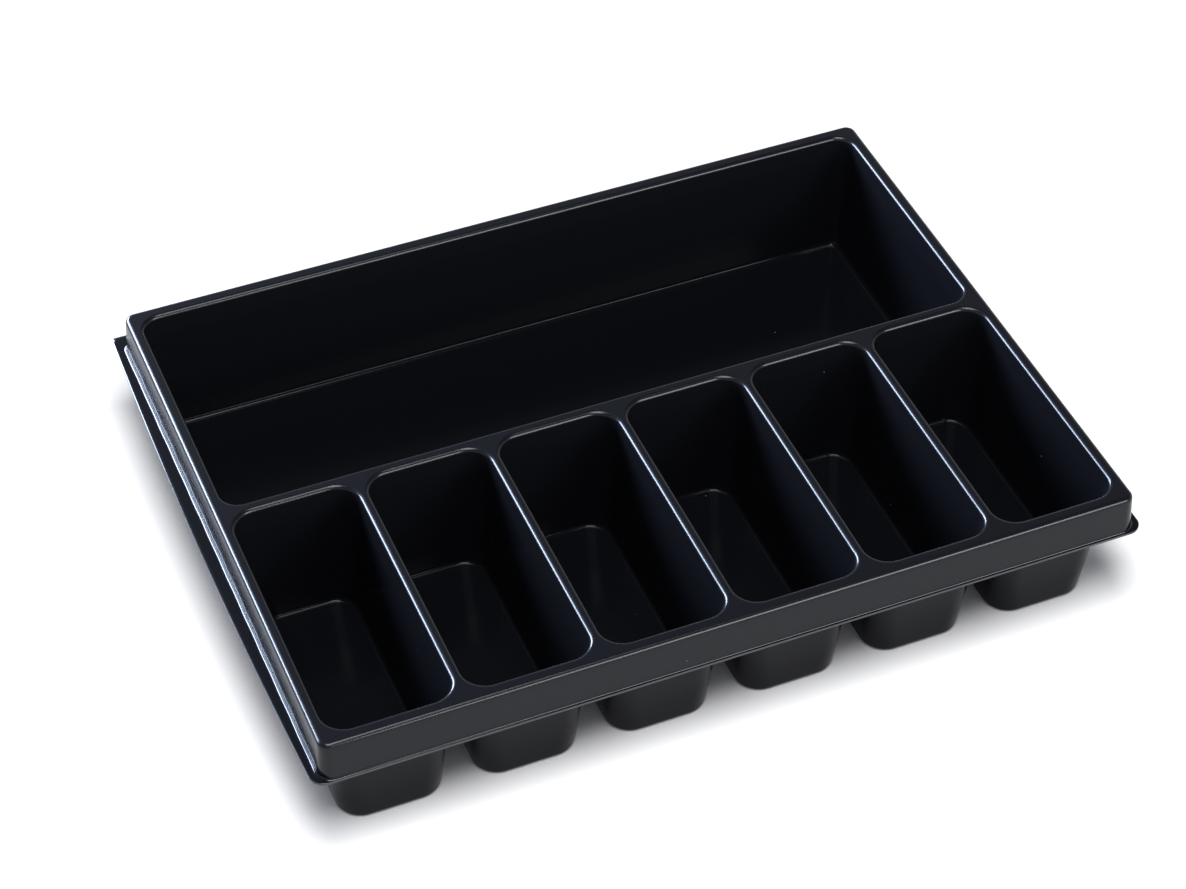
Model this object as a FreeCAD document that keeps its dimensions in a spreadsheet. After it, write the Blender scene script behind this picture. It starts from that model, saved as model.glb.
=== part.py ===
"""Thermoformed plastic tray: six narrow pockets side by side and one wide bin behind them.

One sheet of plastic drawn down from a flat deck. The deck turns down at its outside into a
skirt, and the skirt ends in a narrow trimmed flange. Every pocket wall leans by its draft.
Millimetres, +Z up. In the body's own axes x = 0 and y = 0 are the left and front edges of
the deck; the body is placed so that the part's origin is the middle of its base.
"""
import FreeCAD, Part
import Sketcher
import os
from math import pi

doc = FreeCAD.newDocument("tray")

# ---------------------------------------------------------------- driving sizes
sheet = doc.addObject("Spreadsheet::Sheet", "sizes")
SIZES = {
    "pocket_count": 6,            # narrow pockets along the front
    "pocket_width": 59.0,         # opening across, at the deck
    "pocket_length": 138.6,       # opening front to back, at the deck
    "divider": 4.96,              # deck between two pockets
    "side_margin": 5.6,           # deck outside the end pockets
    "front_margin": 7.0,          # deck in front of the pockets
    "rib": 6.1,                   # deck between the pockets and the bin
    "bin_length": 137.0,          # opening of the wide bin, front to back
    "bin_side_margin": 6.2,       # deck beside the bin
    "back_margin": 7.3,           # deck behind the bin
    "depth": 67.0,                # deck to floor, all pockets
    "wall": 1.2,                  # sheet thickness
    "draft": 5.25,                # lean of a narrow pocket's side walls, degrees
    "end_draft": 4.9,             # lean of its front and back walls, degrees
    "bin_draft": 4.5,             # lean of the bin walls, degrees
    "pocket_corner": 11.2,        # corner of a narrow pocket in plan, the same from deck to floor
    "bin_floor_corner": 4.0,      # corner in plan at the bin's floor
    "pocket_floor_fillet": 2.0,   # wall into floor, inside a pocket
    "bin_floor_fillet": 3.0,      # wall into floor, inside the bin
    "deck_fillet": 2.0,           # deck into walls and into the skirt
    "deck_corner": 5.0,           # corner of the deck in plan
    "skirt_height": 20.0,         # deck down to the top of the flange
    "skirt_draft": 4.0,           # flare of the skirt, degrees
    "flange_fillet": 0.9,         # skirt into flange
    "flange_front": 2.4,          # trimmed flange outside the deck edge, seen in plan
    "flange_back": 7.8,
    "flange_right": 5.3,
    "flange_left_front": 5.0,     # the left side is trimmed in a shallow bow
    "flange_left_middle": 8.4,
    "flange_left_back": 6.1,
    "flange_corner": 6.5,         # trimmed corners at the front and the right
    "flange_back_left_corner": 1.5,
}
for row, (alias, value) in enumerate(SIZES.items(), start=1):
    sheet.set(f"A{row}", alias)
    sheet.set(f"B{row}", str(value))
    sheet.setAlias(f"B{row}", alias)
doc.recompute()

# ---------------------------------------------------------------- derived sizes, as expressions
PITCH = "(sizes.pocket_width + sizes.divider)"
DECK_WIDTH = ("(2 * sizes.side_margin + sizes.pocket_count * sizes.pocket_width"
              " + (sizes.pocket_count - 1) * sizes.divider)")
BIN_FRONT = "(sizes.front_margin + sizes.pocket_length + sizes.rib)"
DECK_DEPTH = f"({BIN_FRONT} + sizes.bin_length + sizes.back_margin)"
BIN_WIDTH = f"({DECK_WIDTH} - 2 * sizes.bin_side_margin)"
DECK_TOP = "(sizes.depth + sizes.wall)"
FLANGE_TOP = f"({DECK_TOP} - sizes.skirt_height)"
FLANGE_BASE = f"({FLANGE_TOP} - sizes.wall)"
BIN_CORNER = "(sizes.bin_floor_corner + sizes.depth * tan(sizes.bin_draft * 1deg))"
SKIRT_FLARE = "(tan(sizes.skirt_draft * 1deg))"

TOUCH = 1e-4                # how near an edge lies to the level it is picked by
START, END = range(1, 3)    # the ends of a sketch edge, as constraints name them
ORIGIN = -1, START          # the sketch's own origin, as constraints name it


def size(expression):
    """The value in millimetres of an expression in the sheet's names."""
    return float(sheet.evalExpression(expression))


# ---------------------------------------------------------------- sketch helpers
def sketch_at(body, name, level):
    """A sketch of body, parallel to its XY plane at the height given by an expression."""
    sketch = body.newObject("Sketcher::SketchObject", name)
    plane = next(f for f in body.Origin.OriginFeatures if f.Role == "XY_Plane")
    sketch.AttachmentSupport = [(plane, "")]
    sketch.MapMode = "FlatFace"
    sketch.setExpression("AttachmentOffset.Base.z", level)
    return sketch


def bind(sketch, constraint, name, expression):
    """Add a constraint, name it and tie its value to an expression."""
    index = sketch.addConstraint(constraint)
    sketch.renameConstraint(index, name)
    sketch.setExpression(f"Constraints.{name}", expression)


def rounded_rectangle(sketch, left, front, width, length, corner):
    """Four lines joined by four equal tangent arcs; every argument is an expression."""
    x0, y0, w, d, r = (size(e) for e in (left, front, width, length, corner))
    x1, y1 = x0 + w, y0 + d

    def line(ax, ay, bx, by):
        return sketch.addGeometry(Part.LineSegment(FreeCAD.Vector(ax, ay, 0), FreeCAD.Vector(bx, by, 0)))

    def arc(cx, cy, quarter):
        circle = Part.Circle(FreeCAD.Vector(cx, cy, 0), FreeCAD.Vector(0, 0, 1), r)
        return sketch.addGeometry(Part.ArcOfCircle(circle, quarter * pi / 2, (quarter + 1) * pi / 2))

    # counter-clockwise from the front edge, each line followed by the arc at its end
    sides = [line(x0 + r, y0, x1 - r, y0), line(x1, y0 + r, x1, y1 - r),
             line(x1 - r, y1, x0 + r, y1), line(x0, y1 - r, x0, y0 + r)]
    arcs = [arc(x1 - r, y0 + r, 3), arc(x1 - r, y1 - r, 0), arc(x0 + r, y1 - r, 1), arc(x0 + r, y0 + r, 2)]
    for index, (side, bend) in enumerate(zip(sides, arcs)):
        following = sides[(index + 1) % 4]
        sketch.addConstraint(Sketcher.Constraint("Tangent", side, END, bend, START))
        sketch.addConstraint(Sketcher.Constraint("Tangent", bend, END, following, START))
        sketch.addConstraint(Sketcher.Constraint("Vertical" if index % 2 else "Horizontal", side))
        if index:
            sketch.addConstraint(Sketcher.Constraint("Equal", arcs[0], bend))
    near, right, far, far_left = sides
    bind(sketch, Sketcher.Constraint("Radius", arcs[0], r), "corner", corner)
    bind(sketch, Sketcher.Constraint("DistanceX", far_left, START, right, START, w), "width", width)
    bind(sketch, Sketcher.Constraint("DistanceY", near, START, far, START, d), "length", length)
    bind(sketch, Sketcher.Constraint("DistanceX", *ORIGIN, far_left, START, x0), "left", left)
    bind(sketch, Sketcher.Constraint("DistanceY", *ORIGIN, near, START, y0), "front", front)
    return sketch


def pad(body, name, sketch, length, taper="0", down=False):
    """Pad a sketch by an expression; taper in degrees widens it on the way."""
    feature = body.newObject("PartDesign::Pad", name)
    feature.Profile = sketch
    feature.setExpression("Length", length)
    feature.setExpression("TaperAngle", f"({taper}) * 1deg")
    feature.Reversed = down
    sketch.Visibility = False
    doc.recompute()
    return feature


def cut(body, name, sketch, length, taper="0", down=True):
    """Pocket a sketch by an expression; taper in degrees widens it on the way."""
    feature = body.newObject("PartDesign::Pocket", name)
    feature.Profile = sketch
    feature.setExpression("Length", length)
    feature.setExpression("TaperAngle", f"({taper}) * 1deg")
    feature.Reversed = not down
    sketch.Visibility = False
    doc.recompute()
    return feature


def loft(body, kind, name, upper, lower):
    """Join two sketches of the same shape by straight walls; kind says whether it adds or cuts."""
    feature = body.newObject(f"PartDesign::{kind}Loft", name)
    feature.Profile = upper
    feature.Sections = [lower]
    feature.Ruled = True
    upper.Visibility = lower.Visibility = False
    doc.recompute()
    return feature


def row_of(body, name, feature, sketch):
    """Repeat a feature once for each narrow pocket, along x."""
    pattern = body.newObject("PartDesign::LinearPattern", name)
    pattern.Originals = [feature]
    pattern.Direction = (sketch, ["H_Axis"])
    pattern.setExpression("Length", f"{PITCH} * (sizes.pocket_count - 1)")
    pattern.setExpression("Occurrences", "sizes.pocket_count")
    body.Tip = pattern
    doc.recompute()
    return pattern


def fillet(body, name, radius, wanted):
    """Fillet every edge of the body's tip for which wanted(edge's bound box) is true."""
    base = body.Tip
    names = [f"Edge{n}" for n, edge in enumerate(base.Shape.Edges, start=1) if wanted(edge.BoundBox)]
    feature = body.newObject("PartDesign::Fillet", name)
    feature.Base = (base, names)
    feature.setExpression("Radius", radius)
    body.Tip = feature
    doc.recompute()
    return feature


def level(height, test=None):
    """An edge test: the whole edge lies at the height given by an expression."""
    z = size(height)
    return lambda box: abs(box.ZMin - z) < TOUCH and abs(box.ZMax - z) < TOUCH and (test is None or test(box))


# ---------------------------------------------------------------- the tray, one body
def flange_outline(sketch):
    """The trimmed edge: straight at the front, right and back, a shallow bow on the left."""
    width, depth = size(DECK_WIDTH), size(DECK_DEPTH)
    front, back, right = (size(f"sizes.flange_{side}") for side in ("front", "back", "right"))
    left_front, left_middle, left_back = (size(f"sizes.flange_left_{place}") for place in
                                          ("front", "middle", "back"))
    corners = [FreeCAD.Vector(-left_front, -front, 0), FreeCAD.Vector(width + right, -front, 0),
               FreeCAD.Vector(width + right, depth + back, 0), FreeCAD.Vector(-left_back, depth + back, 0)]
    crown = FreeCAD.Vector(-left_middle, depth / 2, 0)
    front_edge, right_edge, back_edge = (sketch.addGeometry(Part.LineSegment(a, b))
                                         for a, b in zip(corners, corners[1:]))
    bow = sketch.addGeometry(Part.Arc(corners[3], crown, corners[0]))
    middle = sketch.addGeometry(Part.Point(crown), True)
    # the sketch keeps an arc's ends counter-clockwise, here from the back to the front
    sketch.addConstraint([
        Sketcher.Constraint("Coincident", front_edge, END, right_edge, START),
        Sketcher.Constraint("Coincident", right_edge, END, back_edge, START),
        Sketcher.Constraint("Coincident", back_edge, END, bow, START),
        Sketcher.Constraint("Coincident", bow, END, front_edge, START),
        Sketcher.Constraint("PointOnObject", middle, START, bow),
        Sketcher.Constraint("Horizontal", front_edge),
        Sketcher.Constraint("Vertical", right_edge),
        Sketcher.Constraint("Horizontal", back_edge),
    ])
    bind(sketch, Sketcher.Constraint("DistanceY", front_edge, START, *ORIGIN, front),
         "front", "sizes.flange_front")
    bind(sketch, Sketcher.Constraint("DistanceY", *ORIGIN, back_edge, END, depth + back),
         "back", f"{DECK_DEPTH} + sizes.flange_back")
    bind(sketch, Sketcher.Constraint("DistanceX", *ORIGIN, front_edge, END, width + right),
         "right", f"{DECK_WIDTH} + sizes.flange_right")
    bind(sketch, Sketcher.Constraint("DistanceX", front_edge, START, *ORIGIN, left_front),
         "left_front", "sizes.flange_left_front")
    bind(sketch, Sketcher.Constraint("DistanceX", back_edge, END, *ORIGIN, left_back),
         "left_back", "sizes.flange_left_back")
    bind(sketch, Sketcher.Constraint("DistanceX", middle, START, *ORIGIN, left_middle),
         "left_middle", "sizes.flange_left_middle")
    bind(sketch, Sketcher.Constraint("DistanceY", *ORIGIN, middle, START, depth / 2),
         "middle", f"{DECK_DEPTH} / 2")
    return sketch


def add_skirt_and_flange(body):
    """A block that widens downwards from the deck on a flat plate, hollowed from below."""
    outline = rounded_rectangle(sketch_at(body, "deck_outline", DECK_TOP), "0", "0",
                                DECK_WIDTH, DECK_DEPTH, "sizes.deck_corner")
    pad(body, "skirt_block", outline, "sizes.skirt_height + sizes.wall", "sizes.skirt_draft", down=True)
    trim = flange_outline(sketch_at(body, "flange_outline", FLANGE_BASE))
    pad(body, "flange_plate", trim, "sizes.wall")
    # the inner face is one wall behind the leaning outer face, and starts one wall lower
    inset = f"(sizes.wall / cos(sizes.skirt_draft * 1deg) - sizes.wall * {SKIRT_FLARE})"
    under = rounded_rectangle(sketch_at(body, "underside_outline", f"{DECK_TOP} - sizes.wall"), inset, inset,
                              f"{DECK_WIDTH} - 2 * {inset}", f"{DECK_DEPTH} - 2 * {inset}",
                              f"sizes.deck_corner - {inset}")
    cut(body, "underside", under, "sizes.skirt_height", "sizes.skirt_draft")


def pocket_section(body, name, level, drop, outside):
    """The plan of the first narrow pocket at a level, drop below the deck, or of its cup outside."""
    side, end = (f"({drop} * tan(sizes.{lean} * 1deg) - {outside})" for lean in ("draft", "end_draft"))
    return rounded_rectangle(sketch_at(body, name, level),
                             f"sizes.side_margin + {side}", f"sizes.front_margin + {end}",
                             f"sizes.pocket_width - 2 * {side}", f"sizes.pocket_length - 2 * {end}",
                             f"sizes.pocket_corner + {outside}")


def add_cups(body):
    """The outsides of the pockets and of the bin, one wall larger all round than the openings."""
    mouth = pocket_section(body, "cup_outline", DECK_TOP, "0", "sizes.wall")
    base = pocket_section(body, "cup_base_outline", "0", DECK_TOP, "sizes.wall")
    row_of(body, "cup_row", loft(body, "Additive", "cup", mouth, base), mouth)
    tub = rounded_rectangle(sketch_at(body, "tub_outline", DECK_TOP),
                            "sizes.bin_side_margin - sizes.wall", f"{BIN_FRONT} - sizes.wall",
                            f"{BIN_WIDTH} + 2 * sizes.wall", "sizes.bin_length + 2 * sizes.wall",
                            f"{BIN_CORNER} + sizes.wall")
    pad(body, "tub", tub, DECK_TOP, "-sizes.bin_draft", down=True)


def cut_openings(body):
    """The narrow pockets and the wide bin, down to their floors."""
    mouth = pocket_section(body, "pocket_outline", DECK_TOP, "0", "0")
    base = pocket_section(body, "pocket_floor_outline", "sizes.wall", "sizes.depth", "0")
    row_of(body, "pocket_row", loft(body, "Subtractive", "pocket", mouth, base), mouth)
    hollow = rounded_rectangle(sketch_at(body, "bin_outline", DECK_TOP), "sizes.bin_side_margin", BIN_FRONT,
                               BIN_WIDTH, "sizes.bin_length", BIN_CORNER)
    cut(body, "bin", hollow, "sizes.depth", "-sizes.bin_draft")


def round_edges(body):
    """Fillets, each on the edges at one level: floors, cup bottoms, deck, skirt foot, flange corners."""
    rib_middle = size(f"{BIN_FRONT} - sizes.rib / 2")
    skirt_foot = size(f"sizes.skirt_height * {SKIRT_FLARE}") + TOUCH
    width, depth = size(DECK_WIDTH), size(DECK_DEPTH)

    def of_pockets(box):
        return box.YMax < rib_middle

    def of_bin(box):
        return box.YMin > rib_middle

    def of_skirt(box):
        return (box.XMin > -skirt_foot and box.XMax < width + skirt_foot
                and box.YMin > -skirt_foot and box.YMax < depth + skirt_foot)

    fillet(body, "pocket_floor_fillets", "sizes.pocket_floor_fillet", level("sizes.wall", of_pockets))
    fillet(body, "bin_floor_fillet", "sizes.bin_floor_fillet", level("sizes.wall", of_bin))
    fillet(body, "cup_fillets", "sizes.pocket_floor_fillet + sizes.wall", level("0", of_pockets))
    fillet(body, "tub_fillet", "sizes.bin_floor_fillet + sizes.wall", level("0", of_bin))
    fillet(body, "deck_fillets", "sizes.deck_fillet", level(DECK_TOP))
    fillet(body, "flange_fillet", "sizes.flange_fillet", level(FLANGE_TOP, of_skirt))
    fillet(body, "flange_underside_fillet", "sizes.flange_fillet + sizes.wall", level(FLANGE_BASE, of_skirt))

    def upright(at_left_back):
        """Tests for the flange's upright corner edges: the back left one, or the other three."""
        base, top = size(FLANGE_BASE), size(FLANGE_TOP)

        def test(box):
            stands = abs(box.ZMin - base) < TOUCH and abs(box.ZMax - top) < TOUCH
            thin = box.XMax - box.XMin < TOUCH and box.YMax - box.YMin < TOUCH
            return stands and thin and (box.XMax < 0 and box.YMin > depth) == at_left_back
        return test

    fillet(body, "flange_corners", "sizes.flange_corner", upright(False))
    fillet(body, "flange_back_left_corner", "sizes.flange_back_left_corner", upright(True))


def build_tray():
    body = doc.addObject("PartDesign::Body", "tray")
    body.Label = "tray"
    add_skirt_and_flange(body)
    add_cups(body)
    cut_openings(body)
    round_edges(body)
    # the part's origin is the middle of its base, measured over the trimmed flange
    body.setExpression("Placement.Base.x",
                       f"(sizes.flange_left_middle - {DECK_WIDTH} - sizes.flange_right) / 2")
    body.setExpression("Placement.Base.y", f"(sizes.flange_front - {DECK_DEPTH} - sizes.flange_back) / 2")
    doc.recompute()
    return body


def check(part):
    """Stop with a message if any object failed or the sub-part isn't one valid solid."""
    failed = [o.Name for o in doc.Objects if "Invalid" in o.State or "Error" in o.State]
    if failed:
        raise RuntimeError(f"failed objects: {failed}")
    if part.Shape.isNull() or not part.Shape.isValid() or len(part.Shape.Solids) != 1:
        raise RuntimeError(f"{part.Label} is not one valid solid")


tray = build_tray()
check(tray)
os.makedirs("parts", exist_ok=True)
tray.Shape.exportStep(f"parts/{tray.Label}.step")
box = tray.Shape.optimalBoundingBox(False)
print(f"{tray.Label}: {box.XLength:.2f} x {box.YLength:.2f} x {box.ZLength:.2f} mm,",
      f"{tray.Shape.Volume / 1000:.1f} cm3, middle {box.Center.x:.3f}, {box.Center.y:.3f}")
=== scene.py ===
"""Looks of a thermoformed plastic tray: one thin glossy black sheet with six pockets and a bin.

The sheet is one closed mesh. Every hollow, and the skirt outside, is the same profile carried
round a rounded rectangle: flat deck, lip turning down, leaning wall, fillet, flat foot.
"""
import bpy
import numpy as np
from mathutils import Matrix, Vector
from mathutils.geometry import delaunay_2d_cdt


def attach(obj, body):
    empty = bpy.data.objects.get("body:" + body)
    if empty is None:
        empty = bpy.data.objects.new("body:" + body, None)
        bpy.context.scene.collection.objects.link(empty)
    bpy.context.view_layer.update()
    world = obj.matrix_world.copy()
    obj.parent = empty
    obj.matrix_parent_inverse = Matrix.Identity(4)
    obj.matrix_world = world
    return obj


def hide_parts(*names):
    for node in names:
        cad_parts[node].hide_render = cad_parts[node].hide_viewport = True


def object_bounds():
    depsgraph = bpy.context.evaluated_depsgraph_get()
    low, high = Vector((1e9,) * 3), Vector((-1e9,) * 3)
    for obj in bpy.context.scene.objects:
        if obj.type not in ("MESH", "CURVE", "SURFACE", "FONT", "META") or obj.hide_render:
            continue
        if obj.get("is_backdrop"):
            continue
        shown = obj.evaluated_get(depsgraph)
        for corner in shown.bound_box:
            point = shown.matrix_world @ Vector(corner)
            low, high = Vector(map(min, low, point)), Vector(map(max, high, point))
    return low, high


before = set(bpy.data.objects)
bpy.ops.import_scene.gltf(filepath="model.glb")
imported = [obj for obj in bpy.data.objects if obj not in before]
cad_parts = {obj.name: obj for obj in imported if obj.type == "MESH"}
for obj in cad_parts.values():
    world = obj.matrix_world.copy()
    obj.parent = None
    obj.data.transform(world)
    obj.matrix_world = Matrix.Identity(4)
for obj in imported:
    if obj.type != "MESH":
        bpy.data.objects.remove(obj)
CAD_LOW, CAD_HIGH = (tuple(corner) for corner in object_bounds())

MM = 0.001

# ---------------------------------------------------------------- sizes of the sheet, in millimetres
POCKET_COUNT = 6
POCKET_WIDTH, POCKET_LENGTH = 59.0, 138.6      # openings at the deck
DIVIDER, RIB = 4.96, 6.1
SIDE_MARGIN, FRONT_MARGIN, BACK_MARGIN = 5.6, 7.0, 7.3
BIN_LENGTH, BIN_SIDE_MARGIN = 137.0, 6.2
DEPTH, WALL = 67.0, 1.2
DRAFT, END_DRAFT, BIN_DRAFT, SKIRT_DRAFT = (np.radians(a) for a in (5.25, 4.9, 4.5, 4.0))
POCKET_CORNER, BIN_FLOOR_CORNER, DECK_CORNER = 11.2, 4.0, 5.0
POCKET_FLOOR_FILLET, BIN_FLOOR_FILLET = 2.0, 3.0
DECK_FILLET = 2.3               # a full lip, so the narrow strips between the hollows are crowned
FLANGE_FILLET = 0.9             # the foot of the skirt where the flange is narrow: in front
WIDE_FLANGE_FILLET = 1.8        # the foot of the skirt where the flange is wide: left and back
FOOT_CHANGE = 0.7               # power by which the foot goes from wide to narrow round a corner
SKIRT_HEIGHT = 20.0
FLANGE_FRONT, FLANGE_BACK, FLANGE_RIGHT = 2.4, 7.8, 5.3
FLANGE_LEFT_FRONT, FLANGE_LEFT_MIDDLE, FLANGE_LEFT_BACK = 5.0, 8.4, 6.1
FLANGE_CORNER, FLANGE_BACK_LEFT_CORNER = 6.5, 1.5

DECK_WIDTH = 2 * SIDE_MARGIN + POCKET_COUNT * POCKET_WIDTH + (POCKET_COUNT - 1) * DIVIDER
BIN_FRONT = FRONT_MARGIN + POCKET_LENGTH + RIB
DECK_DEPTH = BIN_FRONT + BIN_LENGTH + BACK_MARGIN
DECK_TOP = CAD_HIGH[2] / MM
DECK_LEFT = CAD_HIGH[0] / MM - FLANGE_RIGHT - DECK_WIDTH
DECK_FRONT = CAD_LOW[1] / MM + FLANGE_FRONT

# how finely the profile and the paths are divided
LIP_STEPS, FOOT_STEPS, SKIRT_FOOT_STEPS = 12, 6, 18
WALL_STEPS, FLOOR_STEPS, FLANGE_STEPS, CORNER_STEPS = 5, 3, 3, 12
SKIRT_ACROSS, SKIRT_ALONG = 24, 100
POCKET_ACROSS, BIN_ACROSS, HOLLOW_ALONG = 10, 60, 24
BUFFER = 0.1        # flat strip beside a fillet that keeps the flat's shading true
BEVEL = 0.12        # break of the flange's cut edge
BOW_FADE = 90.0     # how far in from the left the bow of the trimmed edge is spread
SCALLOP_PERIOD, SCALLOP_DEPTH, SCALLOP_REACH = 25.6, 0.15, 5.0
SCALLOP_FACING = 0.7    # how squarely a side faces left or right before it is scalloped
INNER_TRIANGLES, SAME_PLACE = 1, 1e-5   # what the triangulation gives, and how near two points are one


# ---------------------------------------------------------------- paths and profiles
def rounded_rectangle(left, front, width, length, corners, across, along):
    """Points and outward plan normals round a rectangle with quarter-circle corners.

    Counter-clockwise from the front left; the corners' radii run front right, back right, back
    left, front left. Each corner is centre + radius * (cos a, sin a) over a quarter turn; each
    side runs straight between corners in `across` or `along` equal steps.
    """
    right, back = left + width, front + length
    radius = np.broadcast_to(np.asarray(corners, float), 4)
    outermost = np.array([[right, front], [right, back], [left, back], [left, front]])
    inwards = np.array([[-1, 1], [-1, -1], [1, -1], [1, 1]])
    centres = outermost + inwards * radius[:, None]
    quarter = np.linspace(0, np.pi / 2, CORNER_STEPS + 1)
    angles = quarter[None, :] + np.radians([[-90], [0], [90], [180]])
    arc_normals = np.stack([np.cos(angles), np.sin(angles)], -1)
    arcs = centres[:, None, :] + radius[:, None, None] * arc_normals
    points, normals = [], []
    for index, steps in enumerate((across, along, across, along)):
        before, after = arcs[index - 1, -1], arcs[index, 0]
        share = np.linspace(0, 1, steps + 1)[1:-1, None]
        side = before * (1 - share) + after * share
        points += [side, arcs[index]]
        normals += [np.repeat(arc_normals[index, :1], len(side), 0), arc_normals[index]]
    return np.concatenate(points), np.concatenate(normals)


def drop_profile(depth, lean, lip, foot, foot_steps):
    """The section of the sheet where it turns down from the deck: run, height, nr, nz by row.

    lean and foot hold one value for each point of the path, so the section may change round it.
    run is measured away from the deck's sharp edge. The lip is an arc of radius lip centred at
    (-lip (1 - sin lean) / cos lean, -lip), the foot an arc of radius foot centred one foot radius
    off both the wall and the floor, and the wall is the straight line that touches both.
    """
    def arc(centre_run, centre_height, radius, swing):
        return np.stack([centre_run + radius * np.sin(swing), centre_height + radius * np.cos(swing)], -1)

    def swings(steps):
        return np.linspace(0, 1, steps + 1)[:, None] * (np.pi / 2 - lean)

    def directions(swing):
        return np.stack([np.sin(swing), np.cos(swing)], -1)

    lip_run = -lip * (1 - np.sin(lean)) / np.cos(lean)
    foot_run = (foot + np.sin(lean) * (depth - foot)) / np.cos(lean)
    turning_down, turning_out = swings(LIP_STEPS), swings(foot_steps)[::-1]
    upper = arc(lip_run, -lip, lip, turning_down)
    lower = arc(foot_run, foot - depth, -foot, turning_out)
    direction = directions(turning_down)
    start = upper[:1] - [BUFFER, 0]
    share = np.linspace(0, 1, WALL_STEPS + 1)[1:-1, None, None]
    wall = upper[-1:] * (1 - share) + lower[:1] * share
    places = np.concatenate([start, upper, wall, lower])
    normals = np.concatenate([direction[:1], direction, np.repeat(direction[-1:], len(wall), 0),
                              directions(turning_out)])
    return places, normals


def sweep(points, normals, drift, profile, side):
    """The profile carried round a path: (upper surface, underside), each rows x points x 3.

    Point = path point + side * run * outward normal + drop * drift, at the profile's height above
    the deck level, where drift is how far the wall slides sideways for each unit it drops; the
    underside is one wall further along minus the profile's own normal.
    """
    places, turns = profile
    surfaces = []
    for thickness in (0.0, WALL):
        run = places[..., 0] - thickness * turns[..., 0]
        height = places[..., 1] - thickness * turns[..., 1]
        plan = points + side * run[..., None] * normals - height[..., None] * drift
        surfaces.append(np.concatenate([plan, height[..., None] + DECK_TOP], -1))
    return surfaces


# ---------------------------------------------------------------- the mesh
class Sheet:
    """Collects grids of vertices and quads, and makes one mesh of them."""

    def __init__(self):
        self.vertices, self.faces, self.count = [], [], 0
        self.cut_faces = (0, 0)

    def add(self, grid):
        """Add a block of vertices; returns their numbers in the same layout."""
        shape = grid.shape[:-1]
        numbers = np.arange(self.count, self.count + int(np.prod(shape))).reshape(shape)
        self.vertices.append(grid.reshape(-1, 3))
        self.count += numbers.size
        return numbers

    def skin(self, rows, outward):
        """Quads between neighbouring rows of closed rings; outward False turns them over."""
        a, b = rows[:-1], rows[1:]
        quads = np.stack([a, b, np.roll(b, -1, 1), np.roll(a, -1, 1)], -1).reshape(-1, 4)
        self.faces += (quads if outward else quads[:, ::-1]).tolist()

    def fan(self, ring, centre, outward):
        """Triangles from a closed ring to one vertex."""
        tris = np.stack([ring, np.roll(ring, -1), np.full_like(ring, centre)], -1)
        self.faces += (tris if outward else tris[:, ::-1]).tolist()

    def mesh(self, name):
        """The mesh in metres, smooth, with cut_edge 1 on the faces of the trimmed edge."""
        data = bpy.data.meshes.new(name)
        data.from_pydata((np.concatenate(self.vertices) * MM).tolist(), [], self.faces)
        edge = np.zeros(len(self.faces))
        edge[slice(*self.cut_faces)] = 1
        data.attributes.new("cut_edge", "FLOAT", "FACE").data.foreach_set("value", edge)
        data.validate()
        data.update()
        data.shade_smooth()
        return data


def hollow(sheet, left, front, width, length, deck_corner, floor_corner, leans, foot, across):
    """A pocket or the bin: the profile swept inwards, then rings shrinking to the floor's middle.

    The wall joins the plan at the deck to the plan at the floor, point by point, so its lean at a
    point is the inward part of the way between them. Ring k of the floor is middle + (fillet's
    end - middle) * share, share falling from 1 to 0. Returns the two outermost rings, on top of
    the deck and underneath it.
    """
    points, normals = rounded_rectangle(left, front, width, length, deck_corner, across,
                                        HOLLOW_ALONG)
    inset_x, inset_y = (DEPTH * np.tan(lean) for lean in leans)
    below, _ = rounded_rectangle(left + inset_x, front + inset_y, width - 2 * inset_x,
                                 length - 2 * inset_y, floor_corner, across, HOLLOW_ALONG)
    slide = (below - points) / DEPTH
    inward = -(slide * normals).sum(-1)
    drift = slide + inward[:, None] * normals
    profile = drop_profile(DEPTH, np.arctan(inward), DECK_FILLET, np.full(len(points), foot),
                           FOOT_STEPS)
    rims = []
    for surface, upward in zip(sweep(points, normals, drift, profile, -1), (True, False)):
        edge = surface[-1]
        middle = np.array([left + width / 2, front + length / 2, edge[0, 2]])
        share = np.concatenate([[1 - 2 * BUFFER / width], np.linspace(1, 0, FLOOR_STEPS + 1)[1:-1]])
        floor = middle + (edge - middle) * share[:, None, None]
        rows = sheet.add(np.concatenate([surface, floor]))
        centre = sheet.add(middle[None])[0]
        sheet.skin(rows, not upward)
        sheet.fan(rows[-1], centre, upward)
        rims.append(rows[0])
    return rims


def trimmed_edge():
    """The outline of the trimmed flange, point for point with the deck's outline.

    A rounded rectangle whose left side is moved out by the bow: ends + 4 * rise * t * (1 - t),
    t running from front to back, fading out evenly over BOW_FADE from the left.
    """
    points, _ = rounded_rectangle(DECK_LEFT - FLANGE_LEFT_FRONT, DECK_FRONT - FLANGE_FRONT,
                                  DECK_WIDTH + FLANGE_LEFT_FRONT + FLANGE_RIGHT,
                                  DECK_DEPTH + FLANGE_FRONT + FLANGE_BACK,
                                  (FLANGE_CORNER, FLANGE_CORNER, FLANGE_BACK_LEFT_CORNER,
                                   FLANGE_CORNER), SKIRT_ACROSS, SKIRT_ALONG)
    place = (points[:, 1] - DECK_FRONT) / DECK_DEPTH
    ends = (FLANGE_LEFT_BACK - FLANGE_LEFT_FRONT) * place
    rise = FLANGE_LEFT_MIDDLE - (FLANGE_LEFT_FRONT + FLANGE_LEFT_BACK) / 2
    near_left = np.clip(1 - (points[:, 0] - DECK_LEFT) / BOW_FADE, 0, 1)
    points[:, 0] -= near_left * (ends + 4 * rise * place * (1 - place))
    return points


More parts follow.
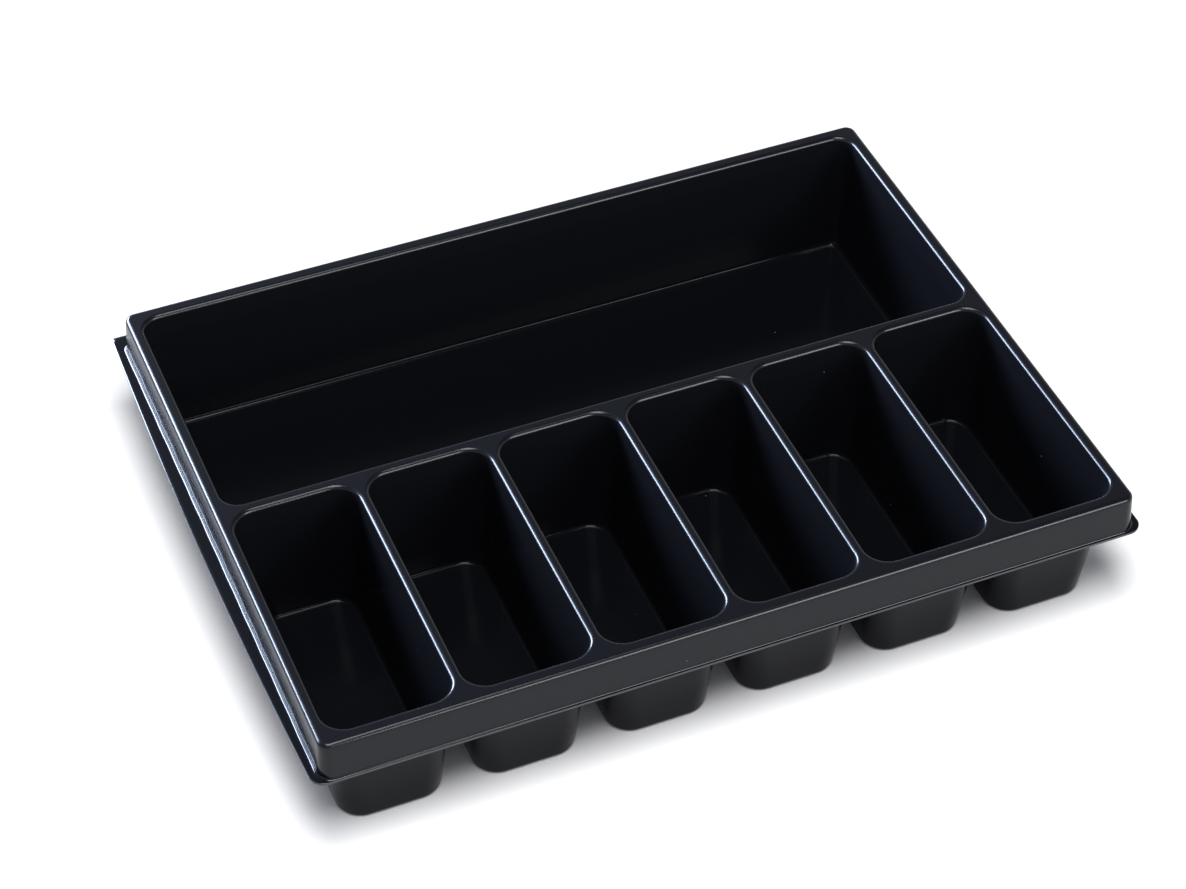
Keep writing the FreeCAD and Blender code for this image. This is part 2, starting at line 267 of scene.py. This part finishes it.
def skirt(sheet):
    """The outside: the profile swept outwards, the flange out to its trimmed edge, the cut edge.

    The foot's radius grows from the narrow front flange to the wide left and back ones. On the
    left and right the foot runs in shallow scallops, a cosine of the place along the side that
    fades out upwards, where the sheet was gripped while it was drawn.
    """
    points, normals = rounded_rectangle(DECK_LEFT, DECK_FRONT, DECK_WIDTH, DECK_DEPTH, DECK_CORNER,
                                        SKIRT_ACROSS, SKIRT_ALONG)
    narrow = np.clip(-normals[:, 1], 0, 1) ** FOOT_CHANGE
    foot = WIDE_FLANGE_FILLET + (FLANGE_FILLET - WIDE_FLANGE_FILLET) * narrow
    profile = drop_profile(SKIRT_HEIGHT, np.full(len(points), SKIRT_DRAFT), DECK_FILLET, foot,
                           SKIRT_FOOT_STEPS)
    trimmed = trimmed_edge()
    sideways = np.clip((np.abs(normals[:, 0]) - SCALLOP_FACING) / (1 - SCALLOP_FACING), 0, 1)
    phase = 0.5 + 0.5 * np.cos(2 * np.pi * (points[:, 1] - DECK_FRONT) / SCALLOP_PERIOD)
    fade = np.exp(-((profile[0][..., 1] + SKIRT_HEIGHT) / SCALLOP_REACH) ** 2)
    scallop = (fade * SCALLOP_DEPTH * sideways * phase)[..., None] * normals
    still = np.zeros_like(points)
    rims, edges = [], []
    for surface, upward in zip(sweep(points, normals, still, profile, 1), (True, False)):
        surface[..., :2] += scallop
        end = surface[-1, :, :2]
        outwards = (trimmed - end) / np.linalg.norm(trimmed - end, axis=-1, keepdims=True)
        rim = trimmed - BEVEL * outwards
        share = np.linspace(0, 1, FLANGE_STEPS + 1)[1:, None, None]
        plan = end + (rim - end) * share
        level = np.full(plan.shape[:2] + (1,), surface[-1, 0, 2])
        rows = sheet.add(np.concatenate([surface, np.concatenate([plan, level], -1)]))
        sheet.skin(rows, upward)
        rims.append(rows[0])
        edges.append(rows[-1])
    top = DECK_TOP - SKIRT_HEIGHT
    cut = np.stack([np.column_stack([trimmed, np.full(len(trimmed), top - drop)])
                    for drop in (BEVEL, WALL - BEVEL)])
    rows = np.concatenate([edges[0][None], sheet.add(cut), edges[1][None]])
    first = len(sheet.faces)
    sheet.skin(rows, True)
    sheet.cut_faces = (first, len(sheet.faces))
    return rims


def flat_between(sheet, outline, openings, upward):
    """The flat deck between the skirt's ring and the hollows' rings, as a constrained triangulation.

    A triangle with all its corners on one opening's ring lies inside that opening and is left out.
    """
    rings = [outline] + openings
    numbers = np.concatenate(rings)
    ring_of = np.repeat(np.arange(len(rings)), [len(r) for r in rings])
    every = np.concatenate(sheet.vertices)
    flat = every[numbers, :2]
    first = np.concatenate([[0], np.cumsum([len(r) for r in rings])])
    links = np.concatenate([np.stack([np.arange(a, b), np.roll(np.arange(a, b), -1)], -1)
                            for a, b in zip(first, first[1:])])
    _, _, faces, sources, _, _ = delaunay_2d_cdt([Vector(p) for p in flat.tolist()], links.tolist(), [],
                                                 INNER_TRIANGLES, SAME_PLACE)
    source = np.array([s[0] for s in sources])
    tris = source[np.array(faces)]
    owner = ring_of[tris]
    inside = (owner[:, 0] == owner[:, 1]) & (owner[:, 1] == owner[:, 2]) & (owner[:, 0] > 0)
    tris = tris[~inside]
    a, b, c = (flat[tris[:, k]] for k in range(3))
    turned = (b[:, 0] - a[:, 0]) * (c[:, 1] - a[:, 1]) - (b[:, 1] - a[:, 1]) * (c[:, 0] - a[:, 0]) > 0
    tris[turned != upward] = tris[turned != upward][:, ::-1]
    sheet.faces += numbers[tris].tolist()


def make_tray():
    """The whole sheet: skirt, a row of pockets, the bin, and the flat deck between them."""
    sheet = Sheet()
    outer = skirt(sheet)
    tops, unders = [], []
    for index in range(POCKET_COUNT):
        left = DECK_LEFT + SIDE_MARGIN + index * (POCKET_WIDTH + DIVIDER)
        top, under = hollow(sheet, left, DECK_FRONT + FRONT_MARGIN, POCKET_WIDTH, POCKET_LENGTH,
                            POCKET_CORNER, POCKET_CORNER, (DRAFT, END_DRAFT), POCKET_FLOOR_FILLET,
                            POCKET_ACROSS)
        tops.append(top)
        unders.append(under)
    bin_corner = BIN_FLOOR_CORNER + DEPTH * np.tan(BIN_DRAFT)
    top, under = hollow(sheet, DECK_LEFT + BIN_SIDE_MARGIN, DECK_FRONT + BIN_FRONT,
                        DECK_WIDTH - 2 * BIN_SIDE_MARGIN, BIN_LENGTH, bin_corner, BIN_FLOOR_CORNER,
                        (BIN_DRAFT, BIN_DRAFT), BIN_FLOOR_FILLET, BIN_ACROSS)
    flat_between(sheet, outer[0], tops + [top], True)
    flat_between(sheet, outer[1], unders + [under], False)
    tray = bpy.data.objects.new("formed_tray", sheet.mesh("formed_tray"))
    bpy.context.collection.objects.link(tray)
    return tray


# ---------------------------------------------------------------- the plastic
SHEET_COLOR = (0.0024, 0.0026, 0.0034, 1)
CUT_COLOR, CUT_ROUGHNESS = (0.035, 0.037, 0.042, 1), 0.5
DUST_COLOR, DUST_SCALE, DUST_SHARE = (0.10, 0.11, 0.13, 1), 420.0, 0.0025
SPECK_RIM, SPECK_CORE = 0.16, 0.05      # radii of a dust speck, as shares of its cell
# the shine tint is painted light: it turns every reflection a little blue in place of a bluish light in
# the room
SHEET_IOR, REFLECTION_TINT_FOR_BLUE_LIGHT = 1.305, (0.90, 0.94, 1.0, 1)
GRAIN_ENDS, GRAIN = (8.0, 18.0), (0.25, 0.14)   # the sheet turns smooth between these depths
DRAWN, SHINE = (22.0, 34.0), (0.5, 0.16)        # and loses some of its shine between these
BUMP_HEIGHT, WAVES, PEEL = 0.000012, 1.0, 0.02
SLOW_SCALE, BROAD_SCALE, PEEL_SCALE = 34.0, 11.0, 620.0
BROAD_SHARE = 2.5                       # how much the broad waves outweigh the slow ones


def node(tree, kind, place, settings=(), **sockets):
    """A node at (column, row) in the editor; settings are its own properties, sockets its inputs."""
    made = tree.nodes.new(kind)
    made.location = (place[0] * 200, place[1] * -220)
    for name, value in dict(settings).items():
        setattr(made, name, value)
    for name, value in sockets.items():
        made.inputs[name.replace("_", " ")].default_value = value
    return made


def group(name, inputs, outputs):
    """An empty node group with its input and output nodes."""
    tree = bpy.data.node_groups.new(name, "ShaderNodeTree")
    for title, kind in inputs:
        tree.interface.new_socket(title, in_out="INPUT", socket_type=kind)
    for title, kind in outputs:
        tree.interface.new_socket(title, in_out="OUTPUT", socket_type=kind)
    return tree, node(tree, "NodeGroupInput", (0, 0)), node(tree, "NodeGroupOutput", (6, 0))


def forming_group():
    """Height of the formed surface: (slow + share * broad noise) * Waves + fine noise * Peel."""
    tree, inlet, outlet = group("forming", [("Place", "NodeSocketVector"), ("Waves", "NodeSocketFloat"),
                                            ("Peel", "NodeSocketFloat")], [("Height", "NodeSocketFloat")])
    slow = node(tree, "ShaderNodeTexNoise", (1, 0), Scale=SLOW_SCALE, Detail=2.0, Roughness=0.45)
    broad = node(tree, "ShaderNodeTexNoise", (1, 1), Scale=BROAD_SCALE, Detail=1.0)
    fine = node(tree, "ShaderNodeTexNoise", (1, 2), Scale=PEEL_SCALE, Detail=2.0, Roughness=0.6)
    both = node(tree, "ShaderNodeMath", (2, 0), {"operation": "MULTIPLY_ADD"})
    waves = node(tree, "ShaderNodeMath", (3, 0), {"operation": "MULTIPLY"})
    peel = node(tree, "ShaderNodeMath", (4, 0), {"operation": "MULTIPLY_ADD"})
    both.inputs[1].default_value = BROAD_SHARE
    link = tree.links.new
    for noise in (slow, broad, fine):
        link(inlet.outputs["Place"], noise.inputs["Vector"])
    link(broad.outputs[0], both.inputs[0])
    link(slow.outputs[0], both.inputs[2])
    link(both.outputs[0], waves.inputs[0])
    link(inlet.outputs["Waves"], waves.inputs[1])
    link(fine.outputs[0], peel.inputs[0])
    link(inlet.outputs["Peel"], peel.inputs[1])
    link(waves.outputs[0], peel.inputs[2])
    link(peel.outputs[0], outlet.inputs["Height"])
    return tree


def dust_group():
    """Sparse specks of dust: small discs round the points of a cell pattern, most cells left empty."""
    tree, inlet, outlet = group("dust", [("Place", "NodeSocketVector"), ("Scale", "NodeSocketFloat"),
                                         ("Share", "NodeSocketFloat")], [("Mask", "NodeSocketFloat")])
    cells = node(tree, "ShaderNodeTexVoronoi", (1, 0), {"voronoi_dimensions": "3D", "feature": "F1"})
    parts = node(tree, "ShaderNodeSeparateColor", (2, 1))
    near = node(tree, "ShaderNodeMapRange", (3, 0), {"interpolation_type": "SMOOTHSTEP"})
    near.inputs["From Min"].default_value = SPECK_RIM
    near.inputs["From Max"].default_value = SPECK_CORE
    chosen = node(tree, "ShaderNodeMath", (3, 1), {"operation": "LESS_THAN"})
    mask = node(tree, "ShaderNodeMath", (4, 0), {"operation": "MULTIPLY"})
    link = tree.links.new
    link(inlet.outputs["Place"], cells.inputs["Vector"])
    link(inlet.outputs["Scale"], cells.inputs["Scale"])
    link(cells.outputs["Color"], parts.inputs[0])
    link(cells.outputs["Distance"], near.inputs["Value"])
    link(parts.outputs[0], chosen.inputs[0])
    link(inlet.outputs["Share"], chosen.inputs[1])
    link(near.outputs[0], mask.inputs[0])
    link(chosen.outputs[0], mask.inputs[1])
    link(mask.outputs[0], outlet.inputs["Mask"])
    return tree


def by_depth(tree, place, height, depths, values):
    """A value that goes smoothly from one to another between two depths below the deck."""
    made = node(tree, "ShaderNodeMapRange", place, {"interpolation_type": "SMOOTHSTEP"})
    for name, depth in zip(("From Min", "From Max"), depths):
        made.inputs[name].default_value = (DECK_TOP - depth) * MM
    made.inputs["To Min"].default_value, made.inputs["To Max"].default_value = values
    tree.links.new(height.outputs["Z"], made.inputs["Value"])
    return made


def black_plastic():
    """Near-black glossy sheet: uneven from forming, a little dust, the cut edge dark grey and dull.

    Near the deck the surface is slightly grained; further down it is smoother but shines less.
    """
    material = bpy.data.materials.new("black_sheet")
    material.use_nodes = True
    tree = material.node_tree
    tree.nodes.clear()
    link = tree.links.new
    output = node(tree, "ShaderNodeOutputMaterial", (6, 0))
    plastic = node(tree, "ShaderNodeBsdfPrincipled", (5, 0), IOR=SHEET_IOR)
    # painted light: every reflection tinted blue, standing in for bluish room light
    plastic.inputs["Specular Tint"].default_value = REFLECTION_TINT_FOR_BLUE_LIGHT
    place = node(tree, "ShaderNodeTexCoord", (0, 1)).outputs["Object"]
    forming = node(tree, "ShaderNodeGroup", (1, 2), {"node_tree": forming_group()},
                   Waves=WAVES, Peel=PEEL)
    bump = node(tree, "ShaderNodeBump", (4, 2), Strength=1.0, Distance=BUMP_HEIGHT)
    link(place, forming.inputs["Place"])
    link(forming.outputs["Height"], bump.inputs["Height"])
    link(bump.outputs[0], plastic.inputs["Normal"])
    dust = node(tree, "ShaderNodeGroup", (1, 1), {"node_tree": dust_group()},
                Scale=DUST_SCALE, Share=DUST_SHARE)
    link(place, dust.inputs["Place"])
    edge = node(tree, "ShaderNodeAttribute", (1, 0), {"attribute_name": "cut_edge"})
    clean = node(tree, "ShaderNodeMix", (3, 0), {"data_type": "RGBA"})
    clean.inputs["A"].default_value = SHEET_COLOR
    clean.inputs["B"].default_value = DUST_COLOR
    color = node(tree, "ShaderNodeMix", (4, 0), {"data_type": "RGBA"})
    color.inputs["B"].default_value = CUT_COLOR
    height = node(tree, "ShaderNodeSeparateXYZ", (1, 3))
    link(place, height.inputs[0])
    grain = by_depth(tree, (3, 3), height, GRAIN_ENDS, GRAIN)
    level = by_depth(tree, (3, 4), height, DRAWN, SHINE)
    link(level.outputs[0], plastic.inputs["Specular IOR Level"])
    gloss = node(tree, "ShaderNodeMapRange", (4, 1))
    gloss.inputs["To Max"].default_value = CUT_ROUGHNESS
    link(grain.outputs[0], gloss.inputs["To Min"])
    link(dust.outputs["Mask"], clean.inputs["Factor"])
    link(clean.outputs["Result"], color.inputs["A"])
    link(edge.outputs["Fac"], color.inputs["Factor"])
    link(color.outputs["Result"], plastic.inputs["Base Color"])
    link(edge.outputs["Fac"], gloss.inputs["Value"])
    link(gloss.outputs[0], plastic.inputs["Roughness"])
    link(plastic.outputs[0], output.inputs[0])
    return material


# ---------------------------------------------------------------- floor, light and camera
AZIMUTH, ELEVATION, ROLL = (np.radians(a) for a in (22.356, 44.004, -0.091))
DISTANCE = 1.4244                       # metres from the camera to the point it is aimed at
AIM_RIGHT, AIM_UP = -9.75, -19.32       # that point from the middle of the deck, in the picture plane
FOCAL_LENGTH, PICTURE_WIDTH = 3043.07, 1186     # both in the same measure
SENSOR_WIDTH = 36

KEY_WAY = (-0.53, 0.775, 0.352)         # where the key light stands, seen from the tray
KEY_DISTANCE = 2.0
WHITE, KEY_BLUE = (1, 1, 1), (0.66, 0.77, 1.0)
# place, width, height, radiance and colour of each light
OVERHEAD = (-0.22, -0.55, 2.0), 0.9, 1.3, 16.0, WHITE
FRONT = (0.85, -2.05, 1.0), 1.2, 0.75, 22.0, WHITE
KEY = [KEY_DISTANCE * way for way in KEY_WAY], 1.6, 0.55, 88, KEY_BLUE

# the room: heights are the upward share of a direction, 0 at the horizon and 1 overhead
MIDDLE_COLOR, HIGH_COLOR, DIMMING = (0.36, 0.37, 0.42, 1), (0.05, 0.055, 0.07, 1), (0.56, 0.80)
HORIZON_COLOR, PALING = (1.15, 1.15, 1.15, 1), (0.45, 0.25)
KEY_SIDE_COLOR, KEY_SIDE = (0.36, 0.38, 0.45, 1), (0.5, 0.85)
PAPER_COLOR, FLOOR_REACH = (0.88, 0.88, 0.88, 1), 4.0


def view_axes():
    """Right, up and forward of the camera as unit vectors."""
    forward = Vector((np.sin(AZIMUTH) * np.cos(ELEVATION), np.cos(AZIMUTH) * np.cos(ELEVATION),
                      -np.sin(ELEVATION)))
    right = Vector((np.cos(AZIMUTH), -np.sin(AZIMUTH), 0))
    up = right.cross(forward)
    return (right * np.cos(ROLL) + up * np.sin(ROLL), up * np.cos(ROLL) - right * np.sin(ROLL), forward)


def make_camera():
    """The camera, DISTANCE back along its own view from the aimed point."""
    right, up, forward = view_axes()
    deck_middle = Vector((DECK_LEFT + DECK_WIDTH / 2, DECK_FRONT + DECK_DEPTH / 2, DECK_TOP)) * MM
    aim = deck_middle + (right * AIM_RIGHT + up * AIM_UP) * MM
    data = bpy.data.cameras.new("camera")
    data.sensor_width = SENSOR_WIDTH
    data.lens = SENSOR_WIDTH * FOCAL_LENGTH / PICTURE_WIDTH
    camera = bpy.data.objects.new("camera", data)
    turn = Matrix((right, up, -forward)).transposed().to_4x4()
    camera.matrix_world = Matrix.Translation(aim - forward * DISTANCE) @ turn
    bpy.context.collection.objects.link(camera)
    bpy.context.scene.camera = camera


def softbox(name, place, width, height, radiance, color):
    """A rectangular area light at a place, facing the tray, of power radiance * pi * area."""
    data = bpy.data.lights.new(name, "AREA")
    data.shape = "RECTANGLE"
    data.size, data.size_y = width, height
    data.energy = radiance * np.pi * width * height
    data.color = color
    light = bpy.data.objects.new(name, data)
    light.location = place
    light.rotation_euler = Vector(place).to_track_quat("Z", "Y").to_euler()
    bpy.context.collection.objects.link(light)
    return light


def make_floor():
    """A square of matt white paper under the tray."""
    corners = np.array([[-1, -1, 0], [1, -1, 0], [1, 1, 0], [-1, 1, 0]]) * FLOOR_REACH
    data = bpy.data.meshes.new("floor")
    data.from_pydata(corners.tolist(), [], [(0, 1, 2, 3)])
    paper = bpy.data.materials.new("white_paper")
    paper.use_nodes = True
    surface = paper.node_tree.nodes["Principled BSDF"]
    surface.inputs["Base Color"].default_value = PAPER_COLOR
    surface.inputs["Roughness"].default_value = 1.0
    surface.inputs["Specular IOR Level"].default_value = 0.0
    data.materials.append(paper)
    floor = bpy.data.objects.new("floor", data)
    bpy.context.collection.objects.link(floor)
    floor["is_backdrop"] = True


def ramp(tree, place, ends, value):
    """A factor that goes smoothly from 0 to 1 as a value goes from one end to the other."""
    made = node(tree, "ShaderNodeMapRange", place, {"interpolation_type": "SMOOTHSTEP"})
    made.inputs["From Min"].default_value, made.inputs["From Max"].default_value = ends
    tree.links.new(value, made.inputs["Value"])
    return made.outputs[0]


def blend(tree, place, factor, under, over):
    """under * (1 - factor) + over * factor, where under is a plain colour or a node's result."""
    made = node(tree, "ShaderNodeMix", place, {"data_type": "RGBA"})
    made.inputs["B"].default_value = over
    tree.links.new(factor, made.inputs["Factor"])
    if isinstance(under, tuple):
        made.inputs["A"].default_value = under
    else:
        tree.links.new(under, made.inputs["A"])
    return made.outputs["Result"]


def make_world():
    """Room light: pale at the horizon, grey above it, dim overhead, blue grey on the key's side."""
    world = bpy.data.worlds.new("studio")
    world.use_nodes = True
    tree = world.node_tree
    direction = node(tree, "ShaderNodeTexCoord", (-6, 0)).outputs["Generated"]
    split = node(tree, "ShaderNodeSeparateXYZ", (-5, 0))
    side = node(tree, "ShaderNodeVectorMath", (-5, 1), {"operation": "DOT_PRODUCT"})
    side.inputs[1].default_value = KEY_WAY
    tree.links.new(direction, split.inputs[0])
    tree.links.new(direction, side.inputs[0])
    upward, towards_key = split.outputs["Z"], side.outputs["Value"]
    room = blend(tree, (-3, 0), ramp(tree, (-4, 0), DIMMING, upward), MIDDLE_COLOR, HIGH_COLOR)
    room = blend(tree, (-2, 1), ramp(tree, (-4, 2), PALING, upward), room, HORIZON_COLOR)
    room = blend(tree, (-2, 0), ramp(tree, (-4, 1), KEY_SIDE, towards_key), room, KEY_SIDE_COLOR)
    tree.links.new(room, tree.nodes["Background"].inputs["Color"])
    bpy.context.scene.world = world


def make_studio(tray):
    """A broad light overhead, and a key and a front light that fall on the tray only."""
    make_floor()
    make_world()
    softbox("overhead", *OVERHEAD)
    front = softbox("front", *FRONT)
    key = softbox("key", *KEY)
    lit = bpy.data.collections.new("lit_tray")
    lit.objects.link(tray)
    for light in (key, front):
        light.light_linking.receiver_collection = lit
    bpy.context.scene.view_settings.view_transform = "Standard"


tray = make_tray()
tray.data.materials.append(black_plastic())
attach(tray, "root")
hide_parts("tray")
make_studio(tray)
make_camera()
